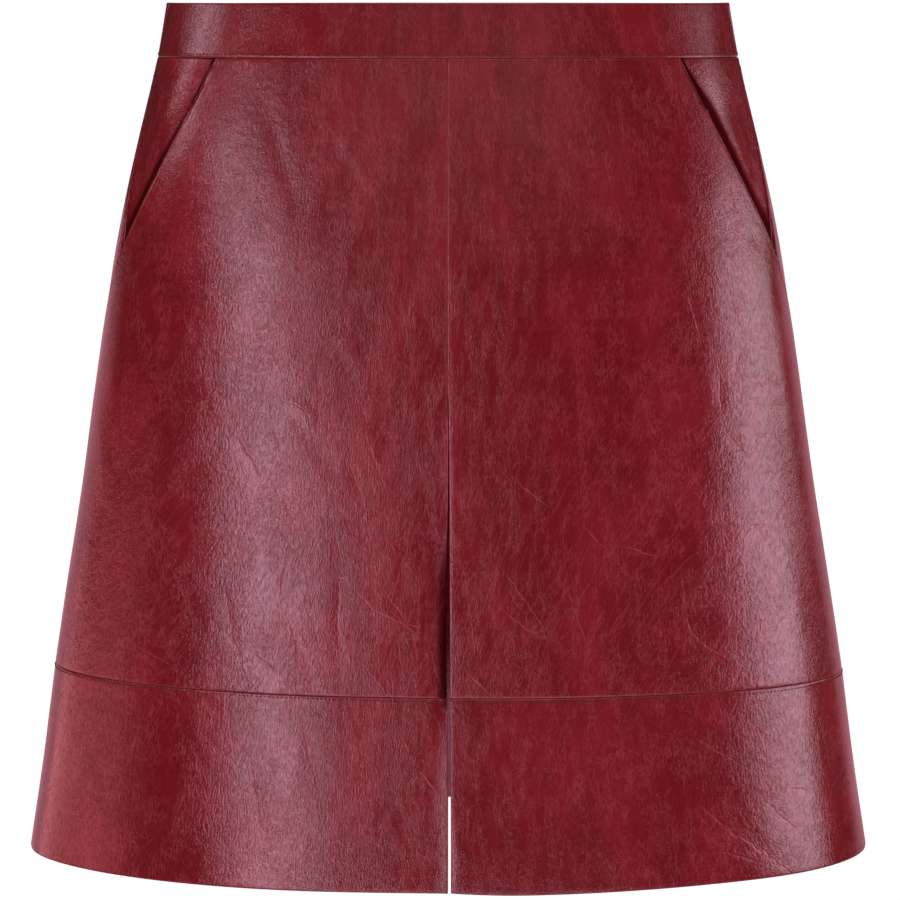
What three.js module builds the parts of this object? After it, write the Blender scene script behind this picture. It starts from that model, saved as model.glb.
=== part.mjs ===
// A leather A-line skirt as it hangs when worn: an open tube of cloth from waist to hem.
// Millimetres, +Z up, the front towards -Y. The origin is the middle of the waist, where it is held.
// Every cloth piece is a wall on one shared surface, so pieces meet edge to edge at their seams.
import * as THREE from "three";

// Heights of the seams and edges
const WAIST_TOP = 15.5;
const WAIST_SEAM = -15.2;
const POCKET_END = -129.5;
const SLIT_TOP = -197;
const BAND_SEAM = -367;
const HEM = -475;

// Thickness of the cloth, and the room left between two pieces
const LEATHER = 1.6;
const WAISTBAND_WALL = 2.4;
const HEM_BAND_WALL = 2.0;
const BAG_CLOTH = 1.0;
const TAPE = 1.0;
const GAP = 0.3;

// Room between layers that lie on each other
const TUCK_GAP = 0.5;

// Pocket: it stands open from `starts` to `ends`, most from `wide` to `narrows`
const POCKET = { topX: 129, starts: -23, wide: -85, narrows: -108, ends: -127.5 };
const PANEL_EDGE = { rise: 1.5, ease: 34 };
const HIP = { recess: 1.9, ease: 15, underPanel: 24, belowPocket: 12, tucksFrom: -104 };
const BAG = { pastOpening: 46, end: -212, roundedFrom: -155, innerTaper: 21, inset: 2, outerTaper: 14 };

// Slit: how far its edges stand from the centre line, and the left edge that curls back
const SLIT = { left: 0.7, right: 1.6, opensBy: -257, openThere: 0.4 };
const CURL = { depth: 3.4, width: 10, top: -255, middle: -332, bottom: -372 };

// Zip: tapes behind the centre-back seam, a slider and a pull tab that swings on it
const ZIP_END = -178;
const TAPE_WIDTH = 12;
const TAPE_STEP = { high: WAIST_SEAM, low: WAIST_SEAM - 8 };
const TAPE_TOP = WAIST_TOP - 2;
const SLIDER = { z: 6.5, length: 8.4, width: 3, plate: 1.4, window: 5.2, room: 2.1, arch: 1 };
const PULL = { length: 20, width: 6, tip: 4.4, bar: 1.2, eye: 3.7 };

// Half the width, the depths in front of and behind the middle, and how square the section is
// (2 is an ellipse; above it the front and back are flatter and the sides rounder), at each height
const sections = [
  { z: 15.5, halfWidth: 160.6, front: 80, back: 84, square: 2.3 },
  { z: -15, halfWidth: 165.9, front: 83, back: 88, square: 2.35 },
  { z: -60, halfWidth: 176.9, front: 89, back: 99, square: 2.55 },
  { z: -97, halfWidth: 185.5, front: 93.5, back: 107, square: 2.65 },
  { z: -132, halfWidth: 192.2, front: 97.5, back: 112, square: 2.65 },
  { z: -200, halfWidth: 203.2, front: 102, back: 117.5, square: 2.5 },
  { z: -250, halfWidth: 210.4, front: 105, back: 120.5, square: 2.35 },
  { z: -300, halfWidth: 218.6, front: 107.5, back: 122.5, square: 2.22 },
  { z: -367, halfWidth: 229.5, front: 112, back: 125, square: 2.1 },
  { z: -420, halfWidth: 236.4, front: 116.5, back: 127, square: 2.03 },
  { z: -475, halfWidth: 245.2, front: 121.5, back: 130, square: 2 },
];

// Where each side seam runs, in degrees round from the centre front
const sideSeam = [
  { z: 15.5, degrees: 78 },
  { z: -15, degrees: 80 },
  { z: -75, degrees: 75 },
  { z: -129, degrees: 70.5 },
  { z: -155, degrees: 79 },
  { z: -185, degrees: 86 },
  { z: -300, degrees: 90 },
  { z: -475, degrees: 90 },
];

// Soft flutes of the hanging cloth. Each grows from its top down to the hem; below zero it is a trough.
const folds = [
  { degrees: -63, spread: 13, rise: -1, top: -170 },
  { degrees: -27, spread: 17, rise: 1.6, top: -110 },
  { degrees: -7, spread: 8, rise: -1, top: -190 },
  { degrees: 12, spread: 9, rise: 0.8, top: -200 },
  { degrees: 33, spread: 11, rise: -1.2, top: -150 },
  { degrees: 57, spread: 12, rise: 1.6, top: -130 },
  { degrees: 104, spread: 12, rise: 2, top: -160 },
  { degrees: 127, spread: 10, rise: -2.6, top: -190 },
  { degrees: 149, spread: 12, rise: 2.8, top: -150 },
  { degrees: 172, spread: 9, rise: -1.6, top: -230 },
  { degrees: -107, spread: 11, rise: 1.6, top: -210 },
  { degrees: -131, spread: 12, rise: -2.2, top: -160 },
  { degrees: -155, spread: 13, rise: 2.6, top: -180 },
];

// The hem band's seam climbs to the left, and the right front hangs a little longer
const SEAM_TILT = { rise: 2, below: -435, above: -277 };
const HEM_DROP = { fall: 1.5, above: -405, starts: 3, fades: 20, ends: 70 };

// Small steps for slopes on the surface, in radians and millimetres
const TURN_STEP = 0.004;
const RISE_STEP = 0.5;

const colours = {
  leather: { color: 0x6e1620, roughness: 0.34, metalness: 0 },
  bag: { color: 0x4a1218, roughness: 0.9, metalness: 0 },
  tape: { color: 0x58151d, roughness: 0.85, metalness: 0 },
  metal: { color: 0x9a9da1, roughness: 0.3, metalness: 1 },
};

const radians = THREE.MathUtils.degToRad;
const smooth = (value, low, high) => THREE.MathUtils.smoothstep(value, low, high);

// A column of a table at height z, on a smooth curve through its rows
function along(table, column, z) {
  const last = table.length - 1;
  let row = 0;
  while (row < last - 1 && z < table[row + 1].z) {
    row += 1;
  }
  const slope = (a, b) => (table[b][column] - table[a][column]) / (table[b].z - table[a].z);
  const step = table[row + 1].z - table[row].z;
  const share = THREE.MathUtils.clamp((z - table[row].z) / step, 0, 1);
  const slopeIn = slope(Math.max(row - 1, 0), row + 1);
  const slopeOut = slope(row, Math.min(row + 2, last));
  const square = share * share;
  const cube = square * share;
  return (
    table[row][column] * (2 * cube - 3 * square + 1) +
    table[row + 1][column] * (3 * square - 2 * cube) +
    slopeIn * step * (cube - 2 * square + share) +
    slopeOut * step * (cube - square)
  );
}

// The shared surface

function foldRise(angle, z) {
  return folds.reduce((sum, fold) => {
    const off = THREE.MathUtils.euclideanModulo(angle - radians(fold.degrees) + Math.PI, 2 * Math.PI);
    const across = (off - Math.PI) / radians(fold.spread);
    return sum + fold.rise * Math.exp(-across * across) * (1 - smooth(z, HEM, fold.top));
  }, 0);
}

function settle(angle, z) {
  const nearSeam = smooth(z, SEAM_TILT.below, BAND_SEAM) * (1 - smooth(z, BAND_SEAM, SEAM_TILT.above));
  const nearHem = 1 - smooth(z, HEM, HEM_DROP.above);
  const { starts, fades, ends } = HEM_DROP;
  const rightFront = smooth(angle, 0, radians(starts)) * (1 - smooth(angle, radians(fades), radians(ends)));
  return z - SEAM_TILT.rise * Math.sin(angle) * nearSeam - HEM_DROP.fall * rightFront * nearHem;
}

function skirtPoint(angle, level) {
  const z = settle(angle, level);
  const halfWidth = along(sections, "halfWidth", z);
  const depth = along(sections, Math.cos(angle) > 0 ? "front" : "back", z);
  const square = along(sections, "square", z);
  const across = Math.sin(angle);
  const ahead = Math.cos(angle);
  const reach = (Math.abs(across) ** square + Math.abs(ahead) ** square) ** (-1 / square);
  const point = new THREE.Vector3(halfWidth * across, -depth * ahead, 0).multiplyScalar(reach).setZ(z);
  const out = new THREE.Vector3(depth * across, -halfWidth * ahead, 0).normalize();
  return point.addScaledVector(out, foldRise(angle, z));
}

function outward(angle, level) {
  const across = skirtPoint(angle + TURN_STEP, level).sub(skirtPoint(angle - TURN_STEP, level));
  const up = skirtPoint(angle, level + RISE_STEP).sub(skirtPoint(angle, level - RISE_STEP));
  return across.cross(up).normalize();
}

function lifted(angle, level, lift) {
  return skirtPoint(angle, level).addScaledVector(outward(angle, level), lift);
}

// The angle that a length along the cloth spans here
function span(angle, level, length) {
  const reach = skirtPoint(angle + TURN_STEP, level).distanceTo(skirtPoint(angle - TURN_STEP, level));
  return (length * 2 * TURN_STEP) / reach;
}

// Seams and edges as angles, on the right-hand side; the left-hand side takes them below zero

const seamAngle = (level) => radians(along(sideSeam, "degrees", level));

// The angle of the front at this height that lies x from the middle
function angleAt(x, level) {
  const square = along(sections, "square", level);
  const across = x / along(sections, "halfWidth", level);
  return Math.atan2(across, (1 - across ** square) ** (1 / square));
}

function slantAngle(level) {
  const share = THREE.MathUtils.clamp((WAIST_SEAM - level) / (WAIST_SEAM - POCKET_END), 0, 1);
  const endX = skirtPoint(seamAngle(POCKET_END), POCKET_END).x;
  return angleAt(THREE.MathUtils.lerp(POCKET.topX, endX, share), level);
}

const panelEdge = (level) => (level > POCKET_END ? slantAngle(level) : seamAngle(level));
const halfGap = (angle, level) => span(angle, level, GAP / 2);

// How open the pocket stands at this height, from 0 at its ends to 1
function pocketOpen(level) {
  const widening = smooth(-level, -POCKET.starts, -POCKET.wide);
  return widening * (1 - smooth(-level, -POCKET.narrows, -POCKET.ends));
}

// Length along the cloth from the slanted edge towards the side seam
function pastSlant(angle, level) {
  const edge = slantAngle(Math.max(level, POCKET_END));
  return (Math.abs(angle) - edge) / span(edge, level, 1);
}

function hipLift(angle, level) {
  const past = pastSlant(angle, level);
  const under = 1 - smooth(past, 0, HIP.ease);
  const sunk = past > 0 ? under : smooth(past, -HIP.underPanel, 0);
  const low = smooth(-level, -HIP.tucksFrom, -POCKET_END);
  return -(LEATHER + TUCK_GAP) * Math.max(under, low) - HIP.recess * pocketOpen(level) * sunk;
}

function frontLift(angle, level) {
  const back = Math.max(0, -pastSlant(angle, level));
  return PANEL_EDGE.rise * pocketOpen(level) * (1 - smooth(back, 0, PANEL_EDGE.ease));
}

function curlLift(angle, level) {
  if (angle > 0) return 0;
  const inward = -angle / span(angle, level, 1) / CURL.width;
  const reach = smooth(-level, -CURL.top, -CURL.middle) * (1 - smooth(-level, -CURL.middle, -CURL.bottom));
  return -CURL.depth * reach * Math.exp(-inward * inward);
}

// A wall of cloth between two edges, over a list of levels, closed all round its rim
function wall({ from, to, levels, columns, thickness, lift = () => 0 }) {
  const outer = [];
  const inner = [];
  for (const level of levels) {
    for (let column = 0; column <= columns; column += 1) {
      const angle = THREE.MathUtils.lerp(from(level), to(level), column / columns);
      const height = lift(angle, level);
      outer.push(lifted(angle, level, height));
      inner.push(lifted(angle, level, height - thickness));
    }
  }
  const width = columns + 1;
  const lastRow = levels.length - 1;
  const at = (column, row) => row * width + column;
  const below = outer.length;
  const index = [];
  for (let row = 0; row < lastRow; row += 1) {
    for (let column = 0; column < columns; column += 1) {
      const a = at(column, row);
      const b = at(column + 1, row);
      const c = at(column + 1, row + 1);
      const d = at(column, row + 1);
      index.push(a, d, c, a, c, b);
      index.push(below + a, below + c, below + d, below + a, below + b, below + c);
    }
  }
  const rim = [];
  for (let row = 0; row < lastRow; row += 1) {
    rim.push(at(0, row));
  }
  for (let column = 0; column < columns; column += 1) {
    rim.push(at(column, lastRow));
  }
  for (let row = lastRow; row > 0; row -= 1) {
    rim.push(at(columns, row));
  }
  for (let column = columns; column > 0; column -= 1) {
    rim.push(at(column, 0));
  }
  rim.forEach((here, place) => {
    const next = rim[(place + 1) % rim.length];
    index.push(here, below + here, below + next, here, below + next, next);
  });
  const geometry = new THREE.BufferGeometry().setFromPoints([...outer, ...inner]);
  geometry.setIndex(index);
  geometry.computeVertexNormals();
  return geometry;
}

// Levels from top to bottom in even steps, with any that must be kept between them
function levelsBetween(top, bottom, count, kept = []) {
  const even = Array.from({ length: count + 1 }, (_, row) => THREE.MathUtils.lerp(top, bottom, row / count));
  const near = (top - bottom) / count / 3;
  const free = even.filter((z, row) => row === 0 || row === count || !kept.some((k) => Math.abs(k - z) < near));
  return [...free, ...kept].sort((a, b) => b - a);
}

const skirt = new THREE.Group();

function add(name, geometry, colour) {
  const mesh = new THREE.Mesh(geometry, new THREE.MeshStandardMaterial(colours[colour]));
  mesh.name = name;
  skirt.add(mesh);
  return mesh;
}

// The same piece on both sides: edges given for the right are taken below zero for the left
function addPair(name, colour, { from, to, ...rest }) {
  for (const side of [-1, 1]) {
    const edges = side > 0 ? [from, to] : [(z) => -to(z), (z) => -from(z)];
    const geometry = wall({ from: edges[0], to: edges[1], ...rest });
    add(`${name}_${side > 0 ? "right" : "left"}`, geometry, colour);
  }
}

const seamLess = (level) => seamAngle(level) - halfGap(seamAngle(level), level);
const seamMore = (level) => seamAngle(level) + halfGap(seamAngle(level), level);
const centreBack = (level) => Math.PI - halfGap(Math.PI, level);

// Waistband: one piece over the front, two at the back that close at the zip

const waistbandLevels = levelsBetween(WAIST_TOP, WAIST_SEAM + GAP / 2, 2);

add(
  "waistband_front",
  wall({
    from: (z) => -seamLess(z),
    to: seamLess,
    levels: waistbandLevels,
    columns: 26,
    thickness: WAISTBAND_WALL,
  }),
  "leather",
);
addPair("waistband_back", "leather", {
  from: seamMore,
  to: centreBack,
  levels: waistbandLevels,
  columns: 13,
  thickness: WAISTBAND_WALL,
});

// Front panels: sewn at the centre down to the slit, cut away on a slant above the pocket's end

const panelTop = WAIST_SEAM - GAP / 2;
const panelBottom = BAND_SEAM + GAP / 2;
const hipEnd = POCKET_END - HIP.belowPocket;
const panelLevels = levelsBetween(panelTop, panelBottom, 17, [POCKET_END, hipEnd, SLIT_TOP]);

function slitOpen(level) {
  const soon = smooth(-level, -SLIT_TOP, -SLIT.opensBy);
  return THREE.MathUtils.lerp(smooth(-level, -SLIT_TOP, -HEM), soon, SLIT.openThere);
}

function frontCentre(side) {
  const edge = side > 0 ? SLIT.right : SLIT.left;
  return (level) => span(0, level, THREE.MathUtils.lerp(GAP / 2, edge, slitOpen(level)));
}

const panelOuterEdge = (level) => {
  const edge = panelEdge(level);
  return level > POCKET_END ? edge : edge - halfGap(edge, level);
};

function frontPiece(side, outerEdge, levels, columns, thickness, lift) {
  const centre = frontCentre(side);
  const edges = side > 0 ? [centre, outerEdge] : [(z) => -outerEdge(z), (z) => -centre(z)];
  return wall({ from: edges[0], to: edges[1], levels, columns, thickness, lift });
}

for (const [side, name] of [[-1, "left"], [1, "right"]]) {
  const lift = (angle, level) => frontLift(angle, level) + curlLift(angle, level);
  const panel = frontPiece(side, panelOuterEdge, panelLevels, 14, LEATHER, lift);
  add(`front_panel_${name}`, panel, "leather");
}

// Hip pieces: level with the back panel at the side seam, sunk behind the front panel's slanted edge

function hipInnerEdge(level) {
  const edge = slantAngle(Math.max(level, POCKET_END));
  return edge - span(edge, level, HIP.underPanel);
}

addPair("hip_piece", "leather", {
  from: hipInnerEdge,
  to: seamLess,
  levels: panelLevels.filter((level) => level >= hipEnd),
  columns: 10,
  thickness: LEATHER,
  lift: hipLift,
});

// Pocket bags: plain cloth just inside the hip pieces, down past the pocket's end

const bagLevels = levelsBetween(panelTop, BAG.end, 9);
const bagLift = (angle, level) => -2 * (LEATHER + TUCK_GAP) - HIP.recess * pocketOpen(level);
const bagTaper = (level) => smooth(-level, -BAG.roundedFrom, -BAG.end);

function bagInnerEdge(level) {
  const edge = slantAngle(Math.max(level, POCKET_END));
  return edge - span(edge, level, BAG.pastOpening - BAG.innerTaper * bagTaper(level));
}

function bagOuterEdge(level) {
  const edge = seamLess(level);
  return edge - span(edge, level, BAG.inset + BAG.outerTaper * bagTaper(level));
}

addPair("pocket_bag", "bag", {
  from: bagInnerEdge,
  to: bagOuterEdge,
  levels: bagLevels,
  columns: 7,
  thickness: BAG_CLOTH,
  lift: bagLift,
});

// Back panels: two, with a seam at the centre back under the zip

addPair("back_panel", "leather", {
  from: seamMore,
  to: centreBack,
  levels: panelLevels,
  columns: 13,
  thickness: LEATHER,
});

// Hem band: two pieces in front, parted by the slit, and one round the back

const bandLevels = levelsBetween(BAND_SEAM - GAP / 2, HEM, 4);

for (const [side, name] of [[-1, "left"], [1, "right"]]) {
  const band = frontPiece(side, seamLess, bandLevels, 14, HEM_BAND_WALL, curlLift);
  add(`hem_band_front_${name}`, band, "leather");
}
add(
  "hem_band_back",
  wall({
    from: seamMore,
    to: (level) => 2 * Math.PI - seamMore(level),
    levels: bandLevels,
    columns: 26,
    thickness: HEM_BAND_WALL,
  }),
  "leather",
);

// Zip: a tape on each side behind the centre-back seam

function tapeLift(angle, level) {
  const behindBand = smooth(level, TAPE_STEP.low, TAPE_STEP.high);
  return -TUCK_GAP - THREE.MathUtils.lerp(LEATHER, WAISTBAND_WALL, behindBand);
}

addPair("zip_tape", "tape", {
  from: (level) => Math.PI - span(Math.PI, level, TAPE_WIDTH),
  to: centreBack,
  levels: levelsBetween(TAPE_TOP, ZIP_END, 9, [TAPE_STEP.high, TAPE_STEP.low]),
  columns: 2,
  thickness: TAPE,
  lift: tapeLift,
});

// The slider stands on the outside of the waistband: x across, y up the cloth, z away from it

const zipGroup = new THREE.Group();
const outAtZip = outward(Math.PI, SLIDER.z);
zipGroup.position.copy(skirtPoint(Math.PI, SLIDER.z));
zipGroup.quaternion.setFromRotationMatrix(
  new THREE.Matrix4().makeBasis(
    new THREE.Vector3(-1, 0, 0),
    new THREE.Vector3(0, -outAtZip.z, outAtZip.y),
    outAtZip,
  ),
);

function box(width, height, x = 0, y = 0) {
  const shape = new THREE.Shape();
  shape.moveTo(x - width / 2, y - height / 2);
  shape.lineTo(x + width / 2, y - height / 2);
  shape.lineTo(x + width / 2, y + height / 2);
  shape.lineTo(x - width / 2, y + height / 2);
  shape.closePath();
  return shape;
}

// Side view of the slider, a plate with an arch over it, pushed out across its width
function sliderGeometry() {
  const { length, width, plate, window: opening, room, arch } = SLIDER;
  const height = plate + room + arch;
  const profile = new THREE.Shape();
  profile.moveTo(-length / 2, 0);
  profile.lineTo(length / 2, 0);
  profile.lineTo(length / 2, plate);
  profile.lineTo(opening / 2 + arch, plate + room / 2);
  profile.quadraticCurveTo(opening / 2 + arch, height, opening / 2 - arch, height);
  profile.lineTo(-opening / 2 + arch, height);
  profile.quadraticCurveTo(-opening / 2 - arch, height, -opening / 2 - arch, plate + room / 2);
  profile.lineTo(-length / 2, plate);
  profile.closePath();
  profile.holes.push(box(opening, room, 0, plate + room / 2));
  const geometry = new THREE.ExtrudeGeometry(profile, { depth: width, bevelEnabled: false, curveSegments: 5 });
  geometry.translate(0, 0, -width / 2);
  geometry.applyMatrix4(
    new THREE.Matrix4().makeBasis(
      new THREE.Vector3(0, 1, 0),
      new THREE.Vector3(0, 0, 1),
      new THREE.Vector3(1, 0, 0),
    ),
  );
  return geometry.translate(0, 0, GAP);
}

// The pull tab hangs from the bar that passes under the arch
function pullGeometry() {
  const { length, width, tip, bar, eye } = PULL;
  const outline = new THREE.Shape();
  outline.moveTo(-width / 2, bar / 2);
  outline.lineTo(-width / 2, -eye - bar);
  outline.lineTo(-tip / 2, -length + tip / 2);
  outline.absarc(0, -length + tip / 2, tip / 2, Math.PI, 2 * Math.PI, false);
  outline.lineTo(width / 2, -eye - bar);
  outline.lineTo(width / 2, bar / 2);
  outline.closePath();
  outline.holes.push(box(SLIDER.width + 2 * GAP, eye, 0, -bar / 2 - eye / 2));
  const geometry = new THREE.ExtrudeGeometry(outline, { depth: bar, bevelEnabled: false, curveSegments: 8 });
  return geometry.translate(0, 0, -bar / 2);
}

const slider = add("zip_slider", sliderGeometry(), "metal");
const pull = add("zip_pull", pullGeometry(), "metal");
pull.position.z = GAP + SLIDER.plate + SLIDER.room / 2;
zipGroup.add(slider, pull);
skirt.add(zipGroup);

export default skirt;
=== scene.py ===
# A worn leather A-line skirt: burgundy leather, slanted hip pockets, a front slit and a hem band.
# Metres, in the frame's axes: +Z up, the front towards -Y, the origin in the middle of the waist.
import math

import bmesh
import bpy
import numpy as np
from mathutils import Matrix, Vector, noise
from mathutils.bvhtree import BVHTree


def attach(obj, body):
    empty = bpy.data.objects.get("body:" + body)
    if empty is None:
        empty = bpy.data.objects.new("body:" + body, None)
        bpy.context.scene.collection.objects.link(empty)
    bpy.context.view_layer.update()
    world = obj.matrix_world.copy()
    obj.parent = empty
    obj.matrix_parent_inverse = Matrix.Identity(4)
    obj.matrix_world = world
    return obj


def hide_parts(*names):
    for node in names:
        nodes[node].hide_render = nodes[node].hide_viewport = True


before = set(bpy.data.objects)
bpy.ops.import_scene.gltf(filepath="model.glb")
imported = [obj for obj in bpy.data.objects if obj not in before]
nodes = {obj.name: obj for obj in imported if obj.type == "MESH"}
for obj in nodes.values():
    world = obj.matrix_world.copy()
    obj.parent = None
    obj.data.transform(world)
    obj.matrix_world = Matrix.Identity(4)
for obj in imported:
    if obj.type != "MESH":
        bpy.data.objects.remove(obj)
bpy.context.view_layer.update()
scene = bpy.context.scene

# Camera: level with the waist and two metres in front of it, a long lens looking a little down.
# The photograph is square, and the middle of the waist lies just left of its centre line.
MILLIMETRE = 0.001
CAMERA_PLACE = Vector((1.16, -2050, 7.28)) * MILLIMETRE
LOOKS_DOWN = math.radians(6.934)
LENS = 142.42
SENSOR = 36

camera_data = bpy.data.cameras.new("camera")
camera_data.lens = LENS
camera_data.sensor_width = SENSOR
camera = bpy.data.objects.new("camera", camera_data)
camera.location = CAMERA_PLACE
camera.rotation_euler = (math.pi / 2 - LOOKS_DOWN, 0, 0)
scene.collection.objects.link(camera)
scene.camera = camera
scene.view_settings.view_transform = "Standard"

# Floor and backdrop: a pale disc as far below the waist as a wearer stands, and a white dome
# that only the camera sees, so that every view has a plain white ground.
WAIST_OFF_FLOOR = 1.05
FLOOR_RADIUS = 1.6
DOME_RADIUS = 12


def plain_material(name, colour, glow=0.0):
    material = bpy.data.materials.new(name)
    material.use_nodes = True
    shader = material.node_tree.nodes["Principled BSDF"]
    shader.inputs["Base Color"].default_value = (*colour, 1)
    shader.inputs["Roughness"].default_value = 0.8
    shader.inputs["Emission Color"].default_value = (*colour, 1)
    shader.inputs["Emission Strength"].default_value = glow
    return material


def new_object(name, bm, material):
    mesh = bpy.data.meshes.new(name)
    bm.to_mesh(mesh)
    bm.free()
    mesh.materials.append(material)
    mesh.shade_smooth()
    made = bpy.data.objects.new(name, mesh)
    scene.collection.objects.link(made)
    return made


bm = bmesh.new()
bmesh.ops.create_circle(bm, cap_ends=True, segments=96, radius=FLOOR_RADIUS)
bmesh.ops.translate(bm, verts=bm.verts, vec=(0, 0, -WAIST_OFF_FLOOR))
floor = new_object("floor", bm, plain_material("pale_floor", (0.82, 0.82, 0.82)))

bm = bmesh.new()
bmesh.ops.create_uvsphere(bm, u_segments=48, v_segments=24, radius=DOME_RADIUS)
dome = new_object("backdrop", bm, plain_material("white_backdrop", (1, 1, 1), glow=1.0))
dome.visible_glossy = False
dome.visible_diffuse = False
dome.visible_transmission = False
dome.visible_shadow = False

# Lamps: softboxes. The bands' reflections are the two long highlights down the front, the tops,
# side and hip carry them on, tinted ones light the rims and the low left, ones above and below the
# front bring out the leather's own colour, and two light the back.
MIDDLE = Vector((0, 0, -0.23))
LAMP_AWAY = 1.6
RIM_TINT = (1.0, 0.42, 0.52)
LOW_TINT = (1.0, 0.4, 0.42)
WORLD_GLOW = 0.03
LAMPS = [
    {"name": "left_band", "turn": -28.2, "height": -0.32, "size": (0.46, 1.0), "lean": 10, "glow": 4.4},
    {"name": "left_top", "turn": -42, "height": 0.32, "size": (0.17, 0.66), "lean": 60, "glow": 5.2},
    {"name": "left_hip", "turn": -80, "height": 0.59, "size": (0.66, 0.34), "glow": 3.4},
    {"name": "left_low", "turn": -95, "height": -0.62, "size": (1.7, 0.45), "glow": 1.4, "tint": LOW_TINT},
    {"name": "right_band", "turn": 75, "height": -0.26, "size": (0.92, 0.9), "lean": -8, "glow": 3.5},
    {"name": "right_side", "turn": 101, "height": -0.1, "size": (0.5, 0.4), "glow": 2.0},
    {"name": "right_top", "turn": 84, "height": 0.36, "size": (0.8, 0.5), "glow": 1.1},
    {"name": "left_rim", "turn": -145, "height": -0.6, "away": 1.7, "size": (2.0, 1.0), "glow": 0.55,
     "tint": RIM_TINT},
    {"name": "right_rim", "turn": 152, "height": -0.5, "away": 1.7, "size": (1.5, 1.1), "glow": 0.5,
     "tint": RIM_TINT},
    {"name": "low_front", "turn": 8, "height": 0.46, "size": (0.8, 0.3), "glow": 0.8},
    {"name": "high_front", "turn": 8, "height": 1.6, "away": 1.3, "size": (1.4, 0.8), "glow": 3.0},
    {"name": "back_high", "turn": 180, "height": 1.3, "away": 1.4, "size": (1.2, 0.6), "glow": 2.6},
    {"name": "back_band", "turn": 176, "height": -0.2, "size": (0.34, 0.9), "lean": 6, "glow": 2.4},
    {"name": "floor_front", "turn": 4, "height": -1.0, "away": 1.5, "size": (1.6, 0.4), "glow": 2.4},
]

for row in LAMPS:
    lamp_data = bpy.data.lights.new(row["name"], "AREA")
    lamp_data.shape = "RECTANGLE"
    lamp_data.size, lamp_data.size_y = row["size"]
    lamp_data.energy = row["glow"] * math.pi * row["size"][0] * row["size"][1]
    lamp_data.color = row.get("tint", (1, 1, 1))
    lamp = bpy.data.objects.new(row["name"], lamp_data)
    turn = math.radians(row["turn"])
    away = row.get("away", LAMP_AWAY)
    lamp.location = (away * math.sin(turn), -away * math.cos(turn), row["height"])
    facing = (MIDDLE - lamp.location).to_track_quat("-Z", "Y").to_matrix()
    lamp.rotation_euler = (facing @ Matrix.Rotation(math.radians(row.get("lean", 0)), 3, "Z")).to_euler()
    scene.collection.objects.link(lamp)

world = bpy.data.worlds.new("studio")
world.use_nodes = True
world.node_tree.nodes["Background"].inputs["Color"].default_value = (1, 1, 1, 1)
world.node_tree.nodes["Background"].inputs["Strength"].default_value = WORLD_GLOW
scene.world = world

# Front panels: glossy burgundy leather, sewn down the middle as far as the slit. Each is cut away
# on a slant at the hip for the pocket, and that edge is turned under and stands a little open.
LEATHER = 1.6 * MILLIMETRE
FINENESS = 3
HIP_ROUND = 0.165
DEPTH_TO_WIDTH_SQUARED = 0.26
FACES_OUT = 0.5
WELD = 1e-5

# Rings of fine faces inside every seam edge: how wide each is, how far each ring of points is
# rounded down and how pale it is painted, for wear and partly as a highlight on the rolled edge,
# from the edge inwards
SEAM_RINGS = [1.1 * MILLIMETRE, 0.4 * MILLIMETRE]
SEAM_DROPS = [0.3 * MILLIMETRE, 0.08 * MILLIMETRE, 0.0]
EDGE_WEAR_AND_HIGHLIGHT = [0.3, 0.25, 0.03]
HALF_GAP = 0.2 * MILLIMETRE


def outward(point):
    """Roughly square to the skirt's side at a point: its levels are close to ellipses."""
    return Vector((point.x * DEPTH_TO_WIDTH_SQUARED, point.y, 0)).normalized()


def further_round(first, second):
    """True where the second point lies further round the skirt, to the right in front."""
    return first.x * second.y - first.y * second.x > 0


def outside_of(node):
    """The outer face of a cloth node, as one open sheet of four-sided faces."""
    bm = bmesh.new()
    bm.from_mesh(nodes[node].data)
    bmesh.ops.remove_doubles(bm, verts=bm.verts, dist=WELD)
    hidden = [f for f in bm.faces if f.normal.dot(outward(f.calc_center_median())) < FACES_OUT]
    bmesh.ops.delete(bm, geom=hidden, context="FACES")
    slants = set()
    for face in bm.faces:
        level = min(face.edges, key=lambda e: abs(e.verts[0].co.z - e.verts[1].co.z))
        apex = next(v for v in face.verts if v not in level.verts)
        left, right = level.verts
        if not further_round(left.co, right.co):
            left, right = right, left
        slants.add(bm.edges.get((apex, right if apex.co.z > right.co.z else left)))
    bmesh.ops.dissolve_edges(bm, edges=list(slants), use_verts=False)
    return bm


def with_modifier(bm, kind, **settings):
    """The mesh after one modifier, as a new bmesh."""
    mesh = bpy.data.meshes.new("working")
    bm.to_mesh(mesh)
    bm.free()
    holder = bpy.data.objects.new("working", mesh)
    scene.collection.objects.link(holder)
    modifier = holder.modifiers.new(kind, kind)
    for setting, value in settings.items():
        setattr(modifier, setting, value)
    done = holder.evaluated_get(bpy.context.evaluated_depsgraph_get()).to_mesh()
    bm = bmesh.new()
    bm.from_mesh(done)
    bpy.data.objects.remove(holder)
    bpy.data.meshes.remove(mesh)
    return bm


def rings_from_edge(bm):
    """How many edges each vertex lies from the sheet's border, up to the last seam ring."""
    rings = np.full(len(bm.verts), len(SEAM_DROPS))
    bm.verts.index_update()
    now = {v for v in bm.verts if v.is_boundary}
    for ring in range(len(SEAM_DROPS)):
        rings[[v.index for v in now]] = ring
        touched = {e.other_vert(v) for v in now for e in v.link_edges}
        now = {v for v in touched if rings[v.index] == len(SEAM_DROPS)}
    return rings


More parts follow.
